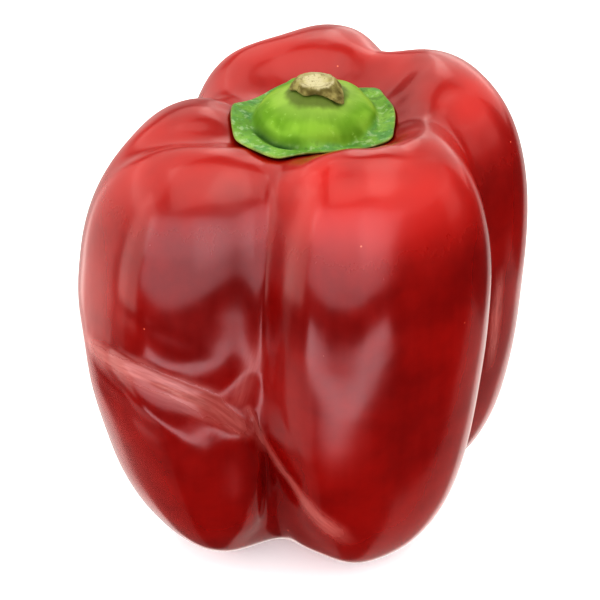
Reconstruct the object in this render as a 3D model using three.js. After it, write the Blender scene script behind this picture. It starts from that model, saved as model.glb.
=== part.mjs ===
// A red bell pepper as picked, standing on the ends of its lobes, with its cut stem upwards.
// Millimetres, +Z up. The origin is on the floor, under the middle of the pepper's box, and the
// two large lobes that lie side by side face -Y.
// The flesh is one solid, several lobes grown together. The green calyx, with the swollen foot
// of the stem on it, lies in the hollow at the top, and the stem's dry cut end caps its neck.
import * as THREE from "three";
import { mergeVertices } from "three/addons/utils/BufferGeometryUtils.js";

const DEGREE = Math.PI / 180;

// Driving dimensions of the flesh. Directions are compass degrees: 0 is +X and 90 is +Y.
const BODY_CENTRE = 47; // height of the point that the flesh's surface is measured from
const LOBE_BLEND = 1.5; // how softly one lobe runs into the next
const HOLLOW_BLEND = 1.5; // how softly the flesh rolls into the hollow
const FACE_STEPS = 30; // quads along each edge of the six patches that cover the flesh

// Each lobe is a rounded block, tapered and leaning.
// toward, out and up place its middle: its direction, its distance from the body's middle line
// and its height. deep, wide and tall are its half sizes outwards, sideways and upwards.
// taper is how much wider it is at its top than at its middle, lean and sway how far its top
// stands outwards and sideways, and square how blocky it is, where 2 is an ellipsoid.
// slopeFoot says how far its foot rises for each millimetre sideways.
const LOBES = [
  {
    name: "front right", toward: -64, out: 19.5, up: 50, deep: 22.8, wide: 23, tall: 50.5,
    taper: 0.09, sway: 1.5, square: 2.7,
  },
  {
    name: "back right", toward: 24, out: 20.5, up: 49.5, deep: 23, wide: 21.5, tall: 50,
    taper: 0.03, lean: 1, sway: -1, square: 2.7,
  },
  {
    name: "back middle", toward: 82, out: 23.5, up: 54, deep: 18, wide: 14.5, tall: 43,
    taper: 0.1, lean: 1.5, square: 2.5,
  },
  {
    name: "back left", toward: 115, out: 21.5, up: 47.5, deep: 19, wide: 18.5, tall: 48,
    lean: 1.5, square: 2.4,
  },
  {
    name: "left fold", toward: 173, out: 23.5, up: 53.5, deep: 21.5, wide: 13.5, tall: 40.5,
    taper: -0.05, lean: -2.5, sway: 1, square: 2.3,
  },
  {
    name: "front left", toward: -152, out: 26, up: 67, deep: 22, wide: 22, tall: 28.5,
    taper: -0.08, lean: -2.5, slopeFoot: -0.15, square: 2.5,
  },
  {
    name: "lower left", toward: -142, out: 28, up: 30.5, deep: 19, wide: 18.5, tall: 31,
    taper: 0.07, lean: 6.5, square: 2.7,
  },
  {
    name: "core", toward: 0, out: 0, up: 50, deep: 22, wide: 22, tall: 44,
    square: 2.6,
  },
];

// Creases pressed into the flesh, each along a run of stops from which it fades away.
// at is the place of a stop and deep its depth. left and right are how far the crease reaches to
// each hand of its run, as seen from outside.
const CREASES = [
  {
    name: "under the front left bulge, down to the foot",
    stops: [
      { at: [-44.5, -17, 61], deep: 0, left: 10, right: 7 },
      { at: [-39.5, -27.5, 59], deep: 1, left: 10, right: 7 },
      { at: [-33, -33.5, 57.5], deep: 1.8, left: 10, right: 7 },
      { at: [-27, -36, 55], deep: 2.2, left: 10, right: 7 },
      { at: [-21, -36, 50.5], deep: 2.4, left: 10, right: 7 },
      { at: [-14.5, -34, 44], deep: 2.2, left: 10, right: 7.5 },
      { at: [-11, -33, 37], deep: 1.9, left: 10, right: 8 },
      { at: [-9.5, -32.5, 29], deep: 1.5, left: 12, right: 8 },
      { at: [-9, -31, 22], deep: 1, left: 12, right: 8 },
      { at: [-9.5, -27, 10.5], deep: 0.5, left: 12, right: 8 },
    ],
  },
  {
    name: "down the front right lobe's lower left flank",
    stops: [
      { at: [-10.5, -31, 40], deep: 0.5, left: 9, right: 5 },
      { at: [-7, -34, 31], deep: 1.6, left: 12, right: 5 },
      { at: [-3.5, -35, 20], deep: 2, left: 13, right: 6 },
      { at: [0, -32, 9], deep: 1.5, left: 12, right: 7 },
      { at: [2, -27, 2], deep: 0.5, left: 10, right: 7 },
    ],
  },
  {
    name: "behind the front left lobe's crest, from the calyx outwards",
    stops: [
      { at: [-15, -10.5, 93], deep: 0.8, left: 6, right: 8 },
      { at: [-21.5, -11, 94.5], deep: 1.5, left: 6, right: 8 },
      { at: [-28, -10.5, 93.5], deep: 1.5, left: 6, right: 8 },
      { at: [-33, -10, 91], deep: 1.2, left: 6, right: 8 },
      { at: [-37.5, -9.5, 87], deep: 0.6, left: 6, right: 8 },
      { at: [-41, -11.5, 80], deep: 0, left: 6, right: 8 },
    ],
  },
];

// The hollow that the calyx lies in, written as a lobe that is taken away.
const HOLLOW = { toward: -90, out: 2, up: 107, deep: 18.5, wide: 18.5, tall: 15, square: 4 };

// Driving dimensions of the calyx: a leafy plate, and on it the stem's swollen foot and its neck.
const STEM_AT = { x: 0, y: -2 }; // where the stem's line stands
const GAP = 0.3; // clearance between solids that touch on the real thing
const PLATE = { middle: 1.4, edge: 0.8 }; // how thick the plate is
const FOOT = { radius: 12, rise: 5, round: 2.8, edge: 0.55, ridge: 0.4, ridges: 5, ridgeToward: -90 };
const NECK = { radius: 2.6, rise: 2, flare: 2.6 };

// Corners of the calyx's outline. bow: how far the edge that follows a corner swells outwards.
const CALYX_CORNERS = [
  { toward: -148, reach: 18.2, bow: 0 },
  { toward: -112, reach: 17.6, bow: 0.4 },
  { toward: -36, reach: 18, bow: 1.8 },
  { toward: 40, reach: 16.4, bow: -1 },
  { toward: 104, reach: 16.2, bow: 0.4 },
  { toward: 164, reach: 16.8, bow: 0.6 },
];

// Driving dimensions of the stem's dry end: a cap cut nearly flat, with a torn edge.
const END = { top: 101.6, tilt: 0.05, radius: 3, shoulder: 1.6, edge: 0.7 };
const END_CORNERS = [
  { toward: -180, reach: 5.4, bow: 0 },
  { toward: -120, reach: 4.6, bow: 0 },
  { toward: -60, reach: 5, bow: 0 },
  { toward: -40, reach: 7.4, bow: 0 },
  { toward: 0, reach: 5, bow: 0 },
  { toward: 60, reach: 4.6, bow: 0 },
  { toward: 120, reach: 4.6, bow: 0 },
];

// Where the rings of the two discs lie, as shares of the outline's reach.
const CALYX_RINGS = {
  around: 90,
  under: [0, 0.3, 0.55, 0.75, 0.9, 1],
  top: [1, 0.95, 0.88, 0.81, 0.74, 0.68, 0.6, 0.5, 0.4, 0.34, 0.28, 0.22, 0.16, 0.08, 0],
};
const END_RINGS = { around: 36, under: [0, 0.4, 0.7, 1], top: [1, 0.9, 0.8, 0.7, 0.6, 0.45, 0.25, 0] };

// Finding the surface: a distance and a height that are surely outside, steps inwards, halvings.
const OUTSIDE = { distance: 80, height: 120 };
const STEP_IN = 1;
const NARROWEST = 0.4; // least width of a tapered lobe far above or below it, as a share
const HALVINGS = 24;
const WELD = 1e-4; // corners closer than this are one

// How far outside a lobe a point is, roughly in millimetres, and below zero inside it.
function outsideLobe(lobe, x, y, z) {
  const { taper = 0, lean = 0, sway = 0, slopeFoot = 0, square } = lobe;
  const cos = Math.cos(lobe.toward * DEGREE);
  const sin = Math.sin(lobe.toward * DEGREE);
  const out = cos * x + sin * y - lobe.out;
  const side = cos * y - sin * x;
  const slope = z > lobe.up ? 0 : -slopeFoot;
  const rise = (z - lobe.up) / (lobe.tall + slope * side);
  const width = Math.max(NARROWEST, 1 + taper * rise);
  const outwards = Math.abs(out - lean * rise) / (lobe.deep * width);
  const sideways = Math.abs(side - sway * rise) / (lobe.wide * width);
  const reach = (outwards ** square + sideways ** square + Math.abs(rise) ** square) ** (1 / square);
  return (reach - 1) * Math.min(lobe.deep, lobe.wide);
}

// How deep the stretch of a crease from one stop to the next is pressed in at a point.
function stretchDepth(before, after, point) {
  const from = new THREE.Vector3(...before.at);
  const run = new THREE.Vector3(...after.at).sub(from);
  const away = point.clone().sub(from);
  const share = THREE.MathUtils.clamp(away.dot(run) / run.lengthSq(), 0, 1);
  away.addScaledVector(run, -share);
  const distance = away.length();
  const between = (size) => THREE.MathUtils.lerp(before[size], after[size], share);
  const outwards = new THREE.Vector3(point.x, point.y, point.z - BODY_CENTRE);
  const hand = run.cross(outwards).normalize().dot(away.normalize()); // -1 is left and 1 is right
  const reach = THREE.MathUtils.lerp(between("left"), between("right"), (1 + hand) / 2);
  return between("deep") * (1 - THREE.MathUtils.smoothstep(distance, 0, reach));
}

function creaseDepth(crease, point) {
  const { stops } = crease;
  return Math.max(...stops.slice(1).map((after, i) => stretchDepth(stops[i], after, point)));
}

// The lobes joined softly and creased, less the hollow: below zero inside the flesh.
function outsideFlesh(x, y, z) {
  let inLobes = 0;
  for (const lobe of LOBES) inLobes += Math.exp(-outsideLobe(lobe, x, y, z) / LOBE_BLEND);
  let lobes = -LOBE_BLEND * Math.log(inLobes);
  const point = new THREE.Vector3(x, y, z);
  for (const crease of CREASES) lobes += creaseDepth(crease, point);
  const hollow = -outsideLobe(HOLLOW, x, y, z);
  return HOLLOW_BLEND * Math.log(Math.exp(lobes / HOLLOW_BLEND) + Math.exp(hollow / HOLLOW_BLEND));
}

// The greatest distance at which a function that falls inwards is no longer above zero.
function surfaceDistance(outsideAt, start) {
  let outer = start;
  while (outsideAt(outer) > 0) outer -= STEP_IN;
  let inner = outer;
  outer += STEP_IN;
  for (let i = 0; i < HALVINGS; i++) {
    const middle = (inner + outer) / 2;
    if (outsideAt(middle) > 0) outer = middle;
    else inner = middle;
  }
  return inner;
}

// The flesh's outermost point from the body's centre along a direction, no lower than the floor.
function fleshPoint(direction) {
  const outsideAt = (t) => outsideFlesh(direction.x * t, direction.y * t, BODY_CENTRE + direction.z * t);
  const toFloor = direction.z < 0 ? -BODY_CENTRE / direction.z : Infinity;
  const t = Math.min(surfaceDistance(outsideAt, OUTSIDE.distance), toFloor);
  return direction.clone().multiplyScalar(t).add(new THREE.Vector3(0, 0, BODY_CENTRE));
}

// Height of the flesh under a point, which is given from the stem's line.
function seatHeight(distance, toward) {
  const x = STEM_AT.x + distance * Math.cos(toward * DEGREE);
  const y = STEM_AT.y + distance * Math.sin(toward * DEGREE);
  return surfaceDistance((z) => outsideFlesh(x, y, z), OUTSIDE.height);
}

// Shortest turn from one direction to another, in degrees.
const turn = (from, to) => ((((to - from) % 360) + 540) % 360) - 180;

// How far an outline given by its corners reaches in a direction.
function outlineReach(corners, toward) {
  let reach = 0;
  corners.forEach((corner, i) => {
    const next = corners[(i + 1) % corners.length];
    const span = turn(corner.toward, next.toward);
    const along = turn(corner.toward, toward);
    if (along < 0 || along >= span) return;
    const before = corner.reach * Math.sin(along * DEGREE);
    const after = next.reach * Math.sin((span - along) * DEGREE);
    const straight = (corner.reach * next.reach * Math.sin(span * DEGREE)) / (before + after);
    reach = straight + corner.bow * Math.sin((Math.PI * along) / span);
  });
  return reach;
}

// How high the calyx stands above the flesh: the plate, the stem's ridged foot and its neck.
function calyxRise(distance, toward) {
  const share = Math.min(1, distance / outlineReach(CALYX_CORNERS, toward));
  const plate = THREE.MathUtils.lerp(PLATE.middle, PLATE.edge, share ** 3);
  const ridge = FOOT.ridge * Math.cos(FOOT.ridges * (toward - FOOT.ridgeToward) * DEGREE);
  const outwards = Math.min(1, distance / (FOOT.radius + ridge));
  const foot = FOOT.rise * (1 - outwards ** FOOT.round) ** FOOT.edge;
  const beyondNeck = Math.max(0, distance - NECK.radius) / NECK.flare;
  return plate + foot + NECK.rise * Math.exp(-(beyondNeck ** 2));
}

// Removes what only drawing needs and makes corners that lie together one.
function welded(geometry) {
  geometry.deleteAttribute("normal");
  geometry.deleteAttribute("uv");
  return mergeVertices(geometry, WELD);
}

// A cube of even quads, each corner then moved out to the flesh's surface.
function fleshGeometry() {
  const geometry = welded(new THREE.BoxGeometry(2, 2, 2, FACE_STEPS, FACE_STEPS, FACE_STEPS));
  const position = geometry.getAttribute("position");
  const even = (v) => Math.tan((v * Math.PI) / 4); // spaces the corners evenly over a sphere
  const direction = new THREE.Vector3();
  for (let i = 0; i < position.count; i++) {
    direction.fromBufferAttribute(position, i);
    direction.set(even(direction.x), even(direction.y), even(direction.z)).normalize();
    position.setXYZ(i, ...fleshPoint(direction));
  }
  geometry.computeVertexNormals();
  return geometry;
}

// A flat turned disc, each corner then placed by its share of the reach, direction and side.
function discGeometry(rings, place) {
  const under = rings.under.map((share) => new THREE.Vector2(share, 0));
  const top = rings.top.map((share) => new THREE.Vector2(share, 1));
  const geometry = welded(new THREE.LatheGeometry([...under, ...top], rings.around));
  const position = geometry.getAttribute("position");
  const corner = new THREE.Vector3();
  for (let i = 0; i < position.count; i++) {
    corner.fromBufferAttribute(position, i);
    const toward = Math.atan2(-corner.z, corner.x) / DEGREE;
    const { distance, height } = place(Math.hypot(corner.x, corner.z), toward, corner.y > 0.5);
    const x = STEM_AT.x + distance * Math.cos(toward * DEGREE);
    const y = STEM_AT.y + distance * Math.sin(toward * DEGREE);
    position.setXYZ(i, x, y, height);
  }
  geometry.computeVertexNormals();
  return geometry;
}

function calyxGeometry() {
  return discGeometry(CALYX_RINGS, (share, toward, onTop) => {
    const distance = share * outlineReach(CALYX_CORNERS, toward);
    const seat = seatHeight(distance, toward) + GAP;
    return { distance, height: onTop ? seat + calyxRise(distance, toward) : seat };
  });
}

function stemEndGeometry() {
  return discGeometry(END_RINGS, (share, toward, onTop) => {
    const distance = share * outlineReach(END_CORNERS, toward);
    const neck = seatHeight(distance, toward) + GAP + calyxRise(distance, toward);
    const seat = neck + GAP;
    const cut = END.top - END.tilt * distance * Math.sin(toward * DEGREE);
    const beyondCut = Math.max(0, distance - END.radius) / END.shoulder;
    return { distance, height: onTop ? Math.max(seat + END.edge, cut - beyondCut ** 2) : seat };
  });
}

const pepper = new THREE.Group();

function add(name, geometry, color, roughness) {
  const material = new THREE.MeshStandardMaterial({ color, roughness, metalness: 0 });
  const mesh = new THREE.Mesh(geometry, material);
  mesh.name = name;
  pepper.add(mesh);
}

add("flesh", fleshGeometry(), 0xa80d0a, 0.28);
add("calyx", calyxGeometry(), 0x6ba52c, 0.6);
add("stem_end", stemEndGeometry(), 0xb5a468, 0.9);

// The middle of the box goes over the origin.
const middle = new THREE.Box3().setFromObject(pepper).getCenter(new THREE.Vector3());
for (const mesh of pepper.children) mesh.geometry.translate(-middle.x, -middle.y, 0);

export default pepper;
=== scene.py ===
"""A red bell pepper: its skin, the green calyx on top and the dry end of its stem."""

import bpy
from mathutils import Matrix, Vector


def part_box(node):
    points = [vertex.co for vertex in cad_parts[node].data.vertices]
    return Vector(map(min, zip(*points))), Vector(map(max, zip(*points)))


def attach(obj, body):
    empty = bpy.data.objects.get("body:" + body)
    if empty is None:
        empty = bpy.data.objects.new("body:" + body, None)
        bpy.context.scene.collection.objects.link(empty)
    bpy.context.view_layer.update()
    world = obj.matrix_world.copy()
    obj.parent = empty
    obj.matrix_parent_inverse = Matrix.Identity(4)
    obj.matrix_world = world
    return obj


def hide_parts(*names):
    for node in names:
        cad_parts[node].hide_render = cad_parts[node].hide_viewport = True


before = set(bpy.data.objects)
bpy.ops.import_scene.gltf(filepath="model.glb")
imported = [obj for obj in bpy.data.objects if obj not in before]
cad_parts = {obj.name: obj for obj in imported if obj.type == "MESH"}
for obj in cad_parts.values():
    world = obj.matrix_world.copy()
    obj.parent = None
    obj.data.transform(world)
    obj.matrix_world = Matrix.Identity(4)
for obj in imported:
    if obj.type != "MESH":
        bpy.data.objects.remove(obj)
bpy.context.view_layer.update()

import math

import bpy
from mathutils import Vector, noise

MM = 0.001

# The stem's line through the pepper, and the height of the flesh's middle
STEM = Vector((1.91 * MM, -1.95 * MM, 0.0))
MIDDLE = Vector((0.0, 0.0, 48 * MM))


# Small helpers for the maker's moves


def smooth_step(low, high, value):
    """0 below low, 1 above high, and a smooth rise between."""
    share = min(1.0, max(0.0, (value - low) / (high - low)))
    return share * share * (3 - 2 * share)


def take(piece):
    """Makes a piece the only selected and the active object."""
    bpy.ops.object.select_all(action="DESELECT")
    piece.select_set(True)
    bpy.context.view_layer.objects.active = piece


def divide(piece, rounds):
    """Rounds a piece by subdivision."""
    smooth = piece.modifiers.new("rounded", "SUBSURF")
    smooth.levels = rounds
    smooth.render_levels = rounds
    bpy.ops.object.modifier_apply(modifier=smooth.name)


def ease(piece, rounds):
    """Evens out the small steps that the CAD solid's facets leave beside its creases."""
    even = piece.modifiers.new("eased", "SMOOTH")
    even.factor = 0.5
    even.iterations = rounds
    bpy.ops.object.modifier_apply(modifier=even.name)


def surface_copy(node, name, rounds, easing=0):
    """A copy of a CAD solid's surface, made of quads and smoothed by rounds of subdivision."""
    piece = bpy.data.objects.new(name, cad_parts[node].data.copy())
    bpy.context.scene.collection.objects.link(piece)
    piece.data.materials.clear()
    take(piece)
    if piece.data.has_custom_normals:
        bpy.ops.mesh.customdata_custom_splitnormals_clear()
    bpy.ops.object.mode_set(mode="EDIT")
    bpy.ops.mesh.select_all(action="SELECT")
    bpy.ops.mesh.remove_doubles(threshold=0.01 * MM)
    bpy.ops.mesh.tris_convert_to_quads(face_threshold=math.pi, shape_threshold=math.pi)
    bpy.ops.object.mode_set(mode="OBJECT")
    divide(piece, 1)
    if easing:
        ease(piece, easing)
    divide(piece, rounds - 1)
    bpy.ops.object.shade_smooth()
    return piece


def sculpt(piece, push):
    """Moves each point along its own normal by what push says for its place, in metres."""
    points = piece.data.vertices
    moves = [(point.co.copy(), point.normal.copy()) for point in points]
    for point, (place, normal) in zip(points, moves):
        point.co = place + normal * push(place, normal)
    piece.data.update()


def keep_inside(piece, low, high):
    """Holds a piece's points inside a box."""
    for point in piece.data.vertices:
        point.co = Vector(min(high[i], max(low[i], point.co[i])) for i in range(3))
    piece.data.update()


def mark(piece, name, measure):
    """Gives each point of a piece a number that its material reads."""
    marks = piece.data.attributes.new(name, "FLOAT", "POINT")
    for point, value in zip(piece.data.vertices, marks.data):
        value.value = measure(point.co, point.normal)


class Fold:
    """A crease in the skin along a run of stops, or a lip where its depth is below zero.

    Each stop is a place, a depth, and how far it reaches to the left and right as seen from outside.
    """

    def __init__(self, stops):
        self.places = [Vector(stop[0]) * MM for stop in stops]
        self.sizes = [[size * MM for size in stop[1:]] for stop in stops]
        self.widest = max(max(sizes[1:]) for sizes in self.sizes)
        self.low = [min(place[i] for place in self.places) - self.widest for i in range(3)]
        self.high = [max(place[i] for place in self.places) + self.widest for i in range(3)]

    def measure(self, place, normal):
        """How deep the fold is at a place, how far to its right that lies, and how far along it."""
        found = (0.0, 0.0, 0.0)
        if any(not self.low[i] < place[i] < self.high[i] for i in range(3)):
            return found
        along = 0.0
        for index in range(len(self.places) - 1):
            start = self.places[index]
            run = self.places[index + 1] - start
            share = min(1.0, max(0.0, (place - start).dot(run) / run.length_squared))
            away = place - start - run * share
            if away.length < self.widest:
                sizes = [a + (b - a) * share for a, b in zip(self.sizes[index], self.sizes[index + 1])]
                hand = run.cross(normal).normalized().dot(away.normalized())
                reach = sizes[1] + (sizes[2] - sizes[1]) * (1 + hand) / 2
                depth = sizes[0] * (1 - smooth_step(0.0, reach, away.length))
                if abs(depth) > abs(found[0]):
                    found = (depth, hand * away.length, along + share * run.length)
            along += run.length
        return found

    def depth(self, place, normal):
        """How deep the fold is at a place, in metres."""
        return self.measure(place, normal)[0]


class Swelling:
    """A broad soft rise of the skin round a place, or a dip where its height is below zero."""

    def __init__(self, place, height, reach):
        self.place = Vector(place) * MM
        self.height = height * MM
        self.reach = Vector(reach) * MM

    def rise(self, place):
        """How high the skin is lifted at a place, in metres."""
        away = place - self.place
        share = math.sqrt(sum((away[i] / self.reach[i]) ** 2 for i in range(3)))
        return self.height * (1 - smooth_step(0.0, 1.0, share)) if share < 1 else 0.0


def ripple(place, size, seed):
    """Soft noise of about -1 to 1, whose waves are size wide, in metres."""
    return noise.noise(place / size + Vector((seed, seed * 1.7, seed * 0.6)))


# Shader maths


class Value:
    """A socket of a material that Python's own signs work on."""

    def __init__(self, finish, socket):
        self.finish = finish
        self.socket = socket

    def maths(self, operation, first, second, clamp=False):
        settings = {"operation": operation, "use_clamp": clamp}
        return self.finish.node("ShaderNodeMath", settings, [first, second])

    def __add__(self, other):
        return self.maths("ADD", self, other)

    __radd__ = __add__

    def __sub__(self, other):
        return self.maths("SUBTRACT", self, other)

    def __rsub__(self, other):
        return self.maths("SUBTRACT", other, self)

    def __mul__(self, other):
        return self.maths("MULTIPLY", self, other)

    __rmul__ = __mul__

    def clipped(self):
        """The same value, held between 0 and 1."""
        return self.maths("ADD", self, 0.0, clamp=True)

    def rise(self, low, high):
        """0 below low, 1 above high, and a smooth rise between; falls where high is below low."""
        settings = {"interpolation_type": "SMOOTHSTEP"}
        sockets = {"Value": self, "From Min": low, "From Max": high}
        return self.finish.node("ShaderNodeMapRange", settings, sockets)


class Finish:
    """A material, and the moves that build it."""

    def __init__(self, name):
        self.material = bpy.data.materials.new(name)
        self.material.use_nodes = True
        self.nodes = self.material.node_tree.nodes
        self.links = self.material.node_tree.links
        self.nodes.clear()

    def node(self, kind, settings=None, sockets=None, out=0):
        """Adds a node: its settings first, then values or links for its sockets. Gives one output back."""
        node = self.nodes.new(kind)
        for key, value in (settings or {}).items():
            setattr(node, key, value)
        pairs = sockets.items() if isinstance(sockets, dict) else enumerate(sockets or [])
        for key, value in pairs:
            if isinstance(value, Value):
                self.links.new(value.socket, node.inputs[key])
            else:
                node.inputs[key].default_value = value
        return Value(self, node.outputs[out])

    def place(self):
        """Object coordinates, in metres."""
        return self.node("ShaderNodeTexCoord", out="Object")

    def marked(self, name):
        """A number that mark gave to each point of the piece."""
        return self.node("ShaderNodeAttribute", {"attribute_name": name}, out="Fac")

    def stretched(self, scale):
        """Object coordinates, scaled by a different amount along each axis."""
        return self.node("ShaderNodeMapping", {}, {"Vector": self.place(), "Scale": scale})

    def clouds(self, scale, detail, rough=0.5, where=None, bend=0.0):
        """Soft noise of 0 to 1, with scale clouds to a metre."""
        sockets = {"Vector": where or self.place(), "Scale": scale, "Detail": detail}
        sockets.update({"Roughness": rough, "Distortion": bend})
        return self.node("ShaderNodeTexNoise", {}, sockets)

    def cells(self, scale, out="Distance"):
        """How far the nearest cell's middle is, or a colour of its own for each cell."""
        return self.node("ShaderNodeTexVoronoi", {}, {"Vector": self.place(), "Scale": scale}, out)

    def mix(self, share, first, second):
        """A colour between two colours."""
        first, second = (c if isinstance(c, Value) else (*c, 1.0) for c in (first, second))
        settings = {"data_type": "RGBA", "clamp_factor": True}
        return self.node("ShaderNodeMix", settings, {0: share, 6: first, 7: second}, out=2)

    def relief(self, height, depth, strength):
        """Fine dents, where a height of 1 stands depth metres high."""
        return self.node("ShaderNodeBump", {}, {"Strength": strength, "Distance": depth, "Height": height})

    def done(self, **sockets):
        """Ends the material with its one shader and gives the material back."""
        named = {}
        for key, value in sockets.items():
            named[key.replace("_", " ").title().replace("Ior", "IOR")] = value
        shader = self.node("ShaderNodeBsdfPrincipled", {}, named)
        output = self.nodes.new("ShaderNodeOutputMaterial")
        self.links.new(shader.socket, output.inputs["Surface"])
        return self.material


# The red skin


FOLDS = [
    # The slanting crease under the front left bulge, filled to half its depth
    Fold(
        [
            ((-42.6, -17, 61), 0.0, 10, 7),
            ((-37.6, -27.5, 59), -0.4, 10, 7),
            ((-31.1, -33.5, 57.5), -1.0, 10, 7),
            ((-25.1, -36, 55), -1.3, 10, 7),
            ((-19.1, -36, 50.5), -1.3, 10, 7),
            ((-12.6, -34, 44), -1.0, 10, 7.5),
            ((-9.1, -33, 37), -0.6, 10, 8),
            ((-7.6, -32.5, 29), 0.0, 12, 8),
        ]
    ),
    # The front left bulge's lower edge, just above the slanting crease
    Fold(
        [
            ((-41.5, -20.0, 60.5), 0.0, 8, 3),
            ((-36.5, -29.0, 60.0), -0.4, 8, 3.5),
            ((-29.5, -34.6, 59.6), -0.5, 8, 3.5),
            ((-23.8, -36.3, 58.0), -0.5, 8, 3.5),
            ((-18.8, -36.2, 55.0), -0.5, 8, 3.5),
            ((-14.6, -34.8, 51.5), -0.3, 7, 3.5),
            ((-11.0, -33.0, 48.0), 0.0, 6, 3),
        ]
    ),
    # The lower left lobe's shoulder, a lip below the slanting crease that turns down to the foot
    Fold(
        [
            ((-41.0, -22.0, 56.5), 0.0, 4, 8),
            ((-37.0, -29.7, 55.5), -0.6, 4, 8),
            ((-29.6, -35.6, 53.8), -1.2, 4, 9),
            ((-20.2, -36.6, 48.8), -1.5, 4, 10),
            ((-13.9, -34.2, 41.0), -1.4, 4, 10),
            ((-11.4, -32.4, 32.8), -0.9, 4, 11),
            ((-10.6, -31.0, 22.0), -0.4, 4, 10),
            ((-10.8, -28.0, 12.0), 0.0, 4, 10),
        ]
    ),
    # The narrow cleft between the lower left lobe and the front right one
    Fold(
        [
            ((-11.8, -34.0, 45.6), 0.2, 1.8, 1.8),
            ((-9.6, -32.8, 39.8), 0.8, 2.0, 2.0),
            ((-8.0, -31.6, 33.5), 1.0, 2.2, 2.2),
            ((-7.8, -30.5, 27.0), 0.9, 2.4, 2.4),
            ((-9.0, -29.0, 19.0), 0.5, 2.4, 2.4),
            ((-9.6, -26.5, 11.0), 0.0, 2.4, 2.4),
        ]
    ),
    # Thin wrinkles that run along the slanting crease
    Fold(
        [
            ((-31.6, -34.5, 55.6), 0.0, 1.3, 1.3),
            ((-27.3, -34.9, 54.2), 0.22, 1.3, 1.3),
            ((-22.1, -35.4, 51.6), 0.28, 1.3, 1.3),
            ((-18.3, -34.6, 49.0), 0.0, 1.3, 1.3),
        ]
    ),
    Fold(
        [
            ((-24.6, -36.6, 51.0), 0.0, 1.4, 1.4),
            ((-20.6, -36.0, 48.6), 0.25, 1.4, 1.4),
            ((-16.6, -35.0, 45.6), 0.3, 1.4, 1.4),
            ((-13.4, -33.6, 42.2), 0.0, 1.4, 1.4),
        ]
    ),
    # The dip behind the front left lobe's crest, from the calyx out to the left
    Fold(
        [
            ((-13.1, -10.5, 93), 0.4, 4, 6),
            ((-19.6, -11, 94.5), 0.8, 4, 7),
            ((-26.1, -10.5, 93.5), 0.8, 4, 7),
            ((-31.1, -10, 91), 0.5, 4, 7),
            ((-35.6, -9.5, 87), 0.2, 4, 6),
        ]
    ),
    # The little valley in the back left lobe's top
    Fold([((-7.0, 16.0, 94.3), 0.35, 6, 6), ((-8.5, 20.5, 95.5), 0.4, 6, 6), ((-9.0, 26, 95), 0.0, 6, 6)]),
    # The faint upright groove down the front right lobe
    Fold([((7.2, -30.4, 96.8), 0.2, 4, 4), ((7.3, -40.6, 77.4), 0.4, 4, 4), ((7.6, -42, 50.8), 0.0, 4, 4)]),
]
SWELLINGS = [
    # The front left bulge's underside, above the slanting crease
    Swelling((-21.0, -37.5, 60.0), 0.3, (17, 12, 10)),
    # The bridge where the ledge under the crease meets the front right lobe
    Swelling((-10.5, -31.0, 44.0), 2.0, (9, 10, 12)),
    # The front right lobe's flank beside it, and lower down
    Swelling((-6.0, -32.0, 35.0), 1.8, (7, 10, 13)),
    Swelling((0.0, -36.0, 24.0), 1.0, (8, 10, 15)),
    # The front lobes' crests, which stand up close before the calyx
    Swelling((8.0, -26.0, 97.5), 1.2, (15, 5.5, 6)),
    Swelling((-8.0, -25.0, 96.5), 0.9, (12, 5.5, 6)),
    # The middle of the front right lobe, above its lower highlight
    Swelling((7.0, -41.0, 76.0), 0.3, (14, 10, 14)),
    # The lower left lobe's right shoulder, which stands in front of the cleft
    Swelling((-12.5, -32.0, 24.0), 1.7, (8, 10, 18)),
]


# Streaks along the creases where a pale tone is painted on as highlight, over wrinkle bumps and a duller
# finish. Here a stop's depth is how much.
HIGHLIGHT_AND_WRINKLE_STREAKS = [
    # Along the slanting crease
    Fold(
        [
            ((-44.5, -14.0, 56.0), 0.0, 2.0, 2.0),
            ((-42.6, -21.0, 54.5), 0.4, 2.5, 2.5),
            ((-39.4, -27.7, 56.0), 0.8, 2.8, 2.8),
            ((-31.3, -34.8, 56.4), 0.9, 3.8, 4.4),
            ((-23.7, -36.6, 54.0), 0.9, 4.0, 5.4),
            ((-17.3, -35.7, 49.5), 0.9, 4.0, 5.8),
            ((-12.5, -35.3, 44.3), 0.8, 2.5, 4.0),
            ((-9.5, -33.8, 40.0), 0.2, 1.5, 1.5),
        ]
    ),
    # Down the front right lobe's flank
    Fold(
        [
            ((-11.3, -33.9, 47.1), 0.5, 1.6, 1.6),
            ((-8.3, -33.1, 38.7), 0.7, 1.8, 1.8),
            ((-4.1, -33.7, 31.1), 1.0, 2.4, 2.6),
            ((0.6, -36.6, 26.2), 1.0, 3.8, 4.0),
            ((5.5, -38.0, 19.5), 0.9, 4.0, 5.0),
            ((9.0, -37.3, 13.5), 0.0, 3.5, 4.0),
        ]
    ),
    # In the valley behind the front right lobe
    Fold(
        [
            ((38.7, -6.2, 62.0), 0.0, 1.8, 1.8),
            ((38.8, -6.0, 56.0), 0.7, 1.8, 2.2),
            ((38.6, -5.9, 49.0), 0.9, 2.2, 2.6),
            ((38.3, -5.7, 42.0), 0.7, 2.4, 2.4),
            ((38.0, -5.5, 34.0), 0.0, 2.0, 2.0),
        ]
    ),
    # Up the groove between the two front lobes
    Fold(
        [
            ((-8.1, -32.8, 64.8), 0.0, 3, 3),
            ((-10.4, -32.7, 56.8), 0.3, 3, 3),
            ((-12.8, -33.7, 49.4), 0.4, 3, 3),
        ]
    ),
]


def highlight_and_wrinkles(place, normal):
    """How strong the painted highlight streak and its wrinkles are at a place, and the place's distance
    across and along the streak.
    """
    found = max((streak.measure(place, normal) for streak in HIGHLIGHT_AND_WRINKLE_STREAKS), key=lambda sizes: sizes[0])
    return [size / MM for size in found]


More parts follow.
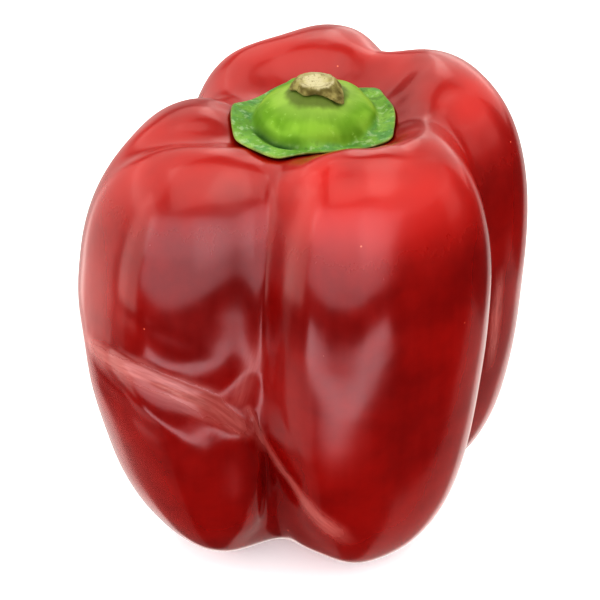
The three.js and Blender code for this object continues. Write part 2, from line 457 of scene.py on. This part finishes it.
def skin_relief(place, normal):
    """How far the skin stands out or dips at a place: long soft waves, shallow dents and the folds."""
    upright = Vector((place.x, place.y, place.z * 0.3))
    waves = 0.09 * ripple(upright, 11 * MM, 3.0) + 0.03 * ripple(upright, 5 * MM, 8.0)
    dents = 0.1 * ripple(place, 13 * MM, 21.0)
    away = place - STEM
    reach = math.hypot(away.x, away.y) / MM
    spoke = Vector((away.x, away.y, 0.0)).normalized() * 4.5
    near = smooth_step(32, 19, reach) if reach > 19 else 1.0
    pleats = 0.4 * noise.noise(spoke) * near * smooth_step(70 * MM, 86 * MM, place.z)
    folds = sum(fold.depth(place, normal) for fold in FOLDS)
    return (waves + dents + pleats) * MM + sum(swelling.rise(place) for swelling in SWELLINGS) - folds


# The skin's reds, with a brighter top that is partly its own tint and partly painted light, and the paler
# tones of its specks and of the painted highlight streaks
DEEP_RED = (0.132, 0.001, 0.0004)
BRIGHT_RED = (0.22, 0.0036, 0.0009)
TOP_RED_TINT_AND_LIGHT = (0.42, 0.011, 0.004)
SPECK_TONE = (0.75, 0.25, 0.14)
PAINTED_HIGHLIGHT_TONE = (0.5, 0.19, 0.165)
SPECKS_TO_A_METRE = 300.0


def build_skin():
    """The red skin, with its sculpted folds and the marks of its painted highlight and wrinkle streaks."""
    skin = surface_copy("flesh", "skin", 2, easing=4)
    sculpt(skin, skin_relief)
    low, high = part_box("flesh")
    keep_inside(skin, low, high)
    mark(skin, "highlight_and_wrinkles", lambda place, normal: highlight_and_wrinkles(place, normal)[0])
    mark(skin, "across", lambda place, normal: highlight_and_wrinkles(place, normal)[1])
    mark(skin, "along", lambda place, normal: highlight_and_wrinkles(place, normal)[2])
    return skin


def skin_finish():
    """Waxy red, brighter and more orange at the shoulders, partly its own tint and partly painted light,
    with small dry specks and pale streaks painted on as highlights.
    """
    finish = Finish("red waxy skin")
    broad = finish.clouds(38.0, 3.0)
    fine = finish.clouds(170.0, 4.0, 0.6)
    streaks = finish.clouds(1.0, 3.0, 0.6, finish.stretched((420.0, 420.0, 28.0)))
    height = finish.node("ShaderNodeSeparateXYZ", {}, [finish.place()], out="Z")
    # Brighter, more orange red towards the top: partly the skin's own tint, partly painted light
    top_tint_and_light = height.rise(78 * MM, 98 * MM)
    tone = (broad * 0.6 + fine * 0.28 + streaks * 0.12).rise(0.32, 0.68)
    colour = finish.mix(tone, DEEP_RED, BRIGHT_RED)
    colour = finish.mix(top_tint_and_light * (0.45 + 0.55 * broad.rise(0.35, 0.65)), colour, TOP_RED_TINT_AND_LIGHT)
    speck_size = finish.cells(SPECKS_TO_A_METRE)
    speck_pick = finish.node("ShaderNodeSeparateColor", {}, [finish.cells(SPECKS_TO_A_METRE, out="Color")])
    speck = speck_size.rise(0.075, 0.03) * speck_pick.rise(0.88, 0.92)
    colour = finish.mix(speck * 0.7, colour, SPECK_TONE)
    highlight_and_wrinkle_share = finish.marked("highlight_and_wrinkles")
    where = [finish.marked("across") * 1.7, finish.marked("along") * 0.13, 0.0]
    lines = finish.clouds(1.0, 3.0, 0.6, finish.node("ShaderNodeCombineXYZ", {}, where), bend=0.3)
    # A pale tone painted along the crease streaks as highlight
    pale = (highlight_and_wrinkle_share * (0.6 + 0.4 * lines.rise(0.35, 0.65))).clipped()
    colour = finish.mix(pale * 0.65, colour, PAINTED_HIGHLIGHT_TONE)
    soft_top = height.rise(72 * MM, 96 * MM)
    rough = 0.15 + 0.07 * fine + 0.03 * streaks.rise(0.4, 0.7) + 0.16 * highlight_and_wrinkle_share + 0.16 * soft_top
    dimples = finish.clouds(240.0, 1.0)
    bump = finish.relief(0.5 * dimples + 1.2 * lines * highlight_and_wrinkle_share, 0.05 * MM, strength=0.4)
    return finish.done(
        base_color=colour,
        roughness=rough,
        normal=bump,
        specular_ior_level=0.85,
        coat_weight=0.5,
        coat_roughness=0.14,
    )


# The green calyx


def turn_and_reach(place):
    """A place's direction round the stem's line, in degrees, and its distance from it in millimetres."""
    away = place - STEM
    return math.degrees(math.atan2(away.y, away.x)), math.hypot(away.x, away.y) / MM


def outline(piece, steps=120):
    """How far a piece reaches from the stem's line in each of a number of even directions."""
    farthest = [0.0] * steps
    for point in piece.data.vertices:
        turn, reach = turn_and_reach(point.co)
        step = int((turn + 180) / 360 * steps) % steps
        farthest[step] = max(farthest[step], reach)
    return farthest


def share_of(farthest, place):
    """How far out a place is, as a share of the outline's reach in its direction."""
    turn, reach = turn_and_reach(place)
    along = (turn + 180) / 360 * len(farthest) - 0.5
    step = math.floor(along)
    before, after = (farthest[(step + k) % len(farthest)] for k in (0, 1))
    return reach / (before + (after - before) * (along - step))


def fibre(turn, reach, fineness, seed=0.0):
    """Soft noise that runs out from the stem's line in fibres."""
    turn = math.radians(turn)
    across = Vector((math.cos(turn) * fineness, math.sin(turn) * fineness, reach / 9 + seed))
    return noise.noise(across)


def foot_shade(place):
    """1 in the crease at the front left foot of the calyx's dome, falling to 0 round it."""
    turn, reach = turn_and_reach(place)
    round_it = 1 - smooth_step(14, 38, abs(turn + 132))
    return round_it * (1 - smooth_step(0.0, 1.5, abs(reach - 12.3)))


# The calyx's dome meets its plate at this distance from the stem's line, in millimetres
DOME_REACH = 12.0

PLATE_GREENS = (0.15, 0.3, 0.05), (0.25, 0.42, 0.1)
PLATE_BLOTCH = (0.1, 0.26, 0.1)
PLATE_PALE_SPECKS = (0.42, 0.52, 0.34)
PLATE_DARK_SPECKS = (0.09, 0.15, 0.05)
DOME_GREENS = (0.14, 0.27, 0.018), (0.23, 0.38, 0.05)
DOME_TOP = (0.36, 0.46, 0.15)
DOME_PALE_SPECKS = (0.4, 0.55, 0.2)
FOOT_SHADE = (0.03, 0.09, 0.01)
PAINTED_SHADE_UNDER_CAP = (0.1, 0.12, 0.03)
DRY_EDGE = (0.3, 0.26, 0.1)


def build_calyx():
    """The green plate and dome, with soft pleats, lumps and the line where they meet."""
    calyx = surface_copy("calyx", "calyx_leaf", 2)

    def push(place, normal):
        turn, reach = turn_and_reach(place)
        up = smooth_step(0.1, 0.5, normal.z)
        pleats = 0.13 * fibre(turn, reach, 2.2) + 0.015 * fibre(turn, reach, 9, 5.0)
        lumps = 0.3 * ripple(place, 5.5 * MM, 13.0) + 0.1 * ripple(place, 2.5 * MM, 3.0)
        foot_line = 0.35 * (1 - smooth_step(0.0, 1.4, abs(reach - 12.4))) + 0.45 * foot_shade(place)
        return (pleats * smooth_step(2, 6, reach) + lumps - foot_line) * up * MM

    sculpt(calyx, push)
    low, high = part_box("calyx")
    keep_inside(calyx, low, high)
    farthest = outline(calyx)
    mark(calyx, "reach", lambda place, normal: turn_and_reach(place)[1])
    mark(calyx, "share", lambda place, normal: share_of(farthest, place))
    mark(calyx, "foot_shade", lambda place, normal: foot_shade(place))
    mark(calyx, "fibres", lambda place, normal: 0.5 + 0.5 * fibre(*turn_and_reach(place), 14, 2.0))
    return calyx


def calyx_finish():
    """Matt greens: a speckled plate, a yellower dome, and a dark ring of painted shade under the dry end.
    """
    finish = Finish("green calyx")
    reach = finish.marked("reach")
    fibres = finish.marked("fibres")
    broad = finish.clouds(110.0, 3.0)
    blotch = finish.clouds(260.0, 2.0)
    fine = finish.clouds(700.0, 4.0, 0.6)
    ragged = reach + 1.6 * (broad - 0.5)
    dome = ragged.rise(DOME_REACH + 0.6, DOME_REACH - 0.6)
    plate_colour = finish.mix(broad.rise(0.35, 0.65), *PLATE_GREENS)
    plate_colour = finish.mix(blotch.rise(0.42, 0.62) * 0.7, plate_colour, PLATE_BLOTCH)
    plate_colour = finish.mix(fine.rise(0.52, 0.66) * 0.5, plate_colour, PLATE_PALE_SPECKS)
    plate_colour = finish.mix(fine.rise(0.44, 0.36) * 0.4, plate_colour, PLATE_DARK_SPECKS)
    patches = finish.clouds(150.0, 2.0)
    dome_tone = (0.06 * fibres + 0.94 * patches).rise(0.36, 0.62)
    dome_colour = finish.mix(dome_tone, *DOME_GREENS)
    dome_colour = finish.mix(reach.rise(10.0, 6.5) * 0.35, dome_colour, DOME_TOP)
    dome_colour = finish.mix(fine.rise(0.6, 0.75) * 0.3, dome_colour, DOME_PALE_SPECKS)
    colour = finish.mix(dome, plate_colour, dome_colour)
    colour = finish.mix(finish.marked("foot_shade") * 0.85, colour, FOOT_SHADE)
    # Painted shade: a ragged dark ring round the stem under the dry end
    shade_under_cap = (reach + 3.0 * (blotch - 0.5)).rise(6.8, 5.2)
    colour = finish.mix(shade_under_cap * 0.75, colour, PAINTED_SHADE_UNDER_CAP)
    edge = finish.marked("share").rise(0.97, 0.99)
    colour = finish.mix(edge * 0.4, colour, DRY_EDGE)
    bump = finish.relief(fine + 0.06 * fibres, 0.15 * MM, strength=0.5)
    return finish.done(base_color=colour, roughness=0.5 + 0.12 * fine, normal=bump, specular_ior_level=0.35)


# The dry end of the stem


CORK_TONES = (0.14, 0.12, 0.045), (0.3, 0.27, 0.12)
CUT_TONES = (0.54, 0.5, 0.33), (0.45, 0.41, 0.22)
RING_TONE = (0.16, 0.13, 0.05)
PIT_TONE = (0.09, 0.065, 0.02)


def build_stem_end():
    """The dry cap, with a pitted side and a slightly sunken cut face."""
    end = surface_copy("stem_end", "dry_end", 3)

    def push(place, normal):
        reach = turn_and_reach(place)[1]
        pits = 0.2 * ripple(place, 1.5 * MM, 4.0) + 0.12 * ripple(place, 0.7 * MM, 9.0)
        cut_face = smooth_step(3.4, 2.2, reach) if reach > 2.2 else 1.0
        return (pits - 0.25 * cut_face * smooth_step(0.3, 0.8, normal.z)) * MM

    sculpt(end, push)
    low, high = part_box("stem_end")
    keep_inside(end, low, high)
    mark(end, "reach", lambda place, normal: turn_and_reach(place)[1])
    return end


def stem_finish():
    """Tan cork at the side, a paler cut face with a darker ring, and dark pits."""
    finish = Finish("dry stem")
    reach = finish.marked("reach")
    broad = finish.clouds(420.0, 3.0)
    fine = finish.clouds(1500.0, 4.0, 0.65)
    side = finish.mix(broad.rise(0.35, 0.65), *CORK_TONES)
    face = finish.mix(broad.rise(0.4, 0.7), *CUT_TONES)
    colour = finish.mix((reach + 1.4 * (broad - 0.5)).rise(3.9, 3.1), side, face)
    uneven = reach + 0.8 * (broad - 0.5)
    ring = uneven.rise(2.3, 2.8) * uneven.rise(3.5, 3.0)
    colour = finish.mix(ring * 0.35, colour, RING_TONE)
    colour = finish.mix(fine.rise(0.56, 0.66) * 0.55, colour, PIT_TONE)
    bump = finish.relief(fine, 0.25 * MM, strength=0.8)
    return finish.done(base_color=colour, roughness=0.85, normal=bump, specular_ior_level=0.2)


# Putting the pieces in their places


def settle(piece, node, material):
    """Gives a piece its material and its body, and hides the CAD solid that it stands for."""
    piece.data.materials.append(material)
    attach(piece, "root")
    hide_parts(node)


settle(build_skin(), "flesh", skin_finish())
settle(build_calyx(), "calyx", calyx_finish())
settle(build_stem_end(), "stem_end", stem_finish())


# Floor, light and camera


FLOOR_REACH = 3.0
WORLD_GLOW = 0.06


def floor():
    """A plain pale floor, which is lit through, so that light can also come from below its level."""
    bpy.ops.object.select_all(action="DESELECT")
    bpy.ops.mesh.primitive_circle_add(vertices=96, radius=FLOOR_REACH, fill_type="NGON", location=(0, 0, 0))
    ground = bpy.context.object
    ground.name = "floor"
    finish = Finish("pale floor")
    grain = finish.clouds(60.0, 2.0)
    colour = finish.mix(grain, (0.88, 0.88, 0.88), (0.9, 0.9, 0.9))
    ground.data.materials.append(
        finish.done(base_color=colour, roughness=0.8, emission_color=(1, 1, 1, 1), emission_strength=0.2)
    )
    ground.visible_glossy = False
    ground.visible_shadow = False


def soft_light(name, turn, rise, distance, wide, tall, glow, tint=(1, 1, 1)):
    """A soft panel that faces the pepper's middle, distance metres from it.

    turn goes from the front to the right, and rise upwards. wide and tall are the angles that it fills.
    """
    turn, rise = math.radians(turn), math.radians(rise)
    away = Vector((math.sin(turn) * math.cos(rise), -math.cos(turn) * math.cos(rise), math.sin(rise)))
    data = bpy.data.lights.new(name, "AREA")
    data.shape = "RECTANGLE"
    data.size = 2 * distance * math.tan(math.radians(wide / 2))
    data.size_y = 2 * distance * math.tan(math.radians(tall / 2))
    data.energy = glow * math.pi * data.size * data.size_y
    data.color = tint
    panel = bpy.data.objects.new(name, data)
    bpy.context.scene.collection.objects.link(panel)
    panel.location = MIDDLE + away * distance
    panel.rotation_euler = away.to_track_quat("Z", "Y").to_euler()
    panel.visible_camera = False
    return panel


COOL = (0.94, 0.95, 1.0)
WARM = (1.0, 0.97, 0.93)

floor()
soft_light("overhead", 0, 80, 0.9, 70, 50, 1.1, WARM)
soft_light("front, upper", -12, 29, 0.9, 106, 34, 1.3, COOL)
soft_light("front, lower", -12, -1, 0.88, 100, 26, 1.05, COOL)
soft_light("front, brighter part", 20, 24, 0.86, 34, 40, 0.3, COOL)
soft_light("front left", -78, 8, 0.9, 28, 56, 0.9, WARM)
soft_light("upper right", 78, 50, 0.9, 56, 52, 0.55, WARM)
soft_light("right", 84, 16, 0.9, 22, 22, 0.5, WARM)
soft_light("left", -120, -4, 0.9, 40, 56, 0.35, WARM)
soft_light("left, softer edge", -111, -4, 0.92, 62, 62, 0.25, WARM)
soft_light("upper left", -140, 44, 0.9, 90, 46, 0.8, WARM)
soft_light("behind", 180, -26, 0.9, 84, 70, 0.42, WARM)
soft_light("back right", 148, 24, 0.9, 56, 54, 0.7, WARM)
soft_light("front, low", -6, -36, 0.7, 82, 11, 1.6, COOL)
soft_light("front left, low", -66, -38, 0.7, 36, 16, 0.35)
soft_light("left, low", -112, -58, 0.7, 78, 38, 0.1, WARM)
soft_light("right, low", 132, -56, 0.9, 70, 44, 0.25, WARM)

# Fill for the shaded sides, which leaves no reflection of its own
soft_light("fill, right", 92, 0, 0.9, 70, 60, 1.6).visible_glossy = False
soft_light("fill, front", -10, -15, 0.9, 80, 50, 0.5).visible_glossy = False
soft_light("fill, left", -115, -15, 0.9, 70, 60, 2.1).visible_glossy = False

world = bpy.data.worlds.new("studio")
world.use_nodes = True
world.node_tree.nodes["Background"].inputs["Color"].default_value = (1, 1, 1, 1)
world.node_tree.nodes["Background"].inputs["Strength"].default_value = WORLD_GLOW
bpy.context.scene.world = world

bpy.context.scene.view_settings.view_transform = "Standard"
bpy.context.scene.view_settings.look = "Very High Contrast"

CAMERA_AIM = Vector((-1.1 * MM, 0.0, 49 * MM))
CAMERA_RISE = math.radians(35)
CAMERA_DISTANCE = 450 * MM
camera_data = bpy.data.cameras.new("camera")
camera_data.lens = 132
camera_data.sensor_width = 36
camera = bpy.data.objects.new("camera", camera_data)
bpy.context.scene.collection.objects.link(camera)
back = Vector((0.0, -math.cos(CAMERA_RISE), math.sin(CAMERA_RISE)))
camera.location = CAMERA_AIM + back * CAMERA_DISTANCE
camera.rotation_euler = back.to_track_quat("Z", "Y").to_euler()
bpy.context.scene.camera = camera
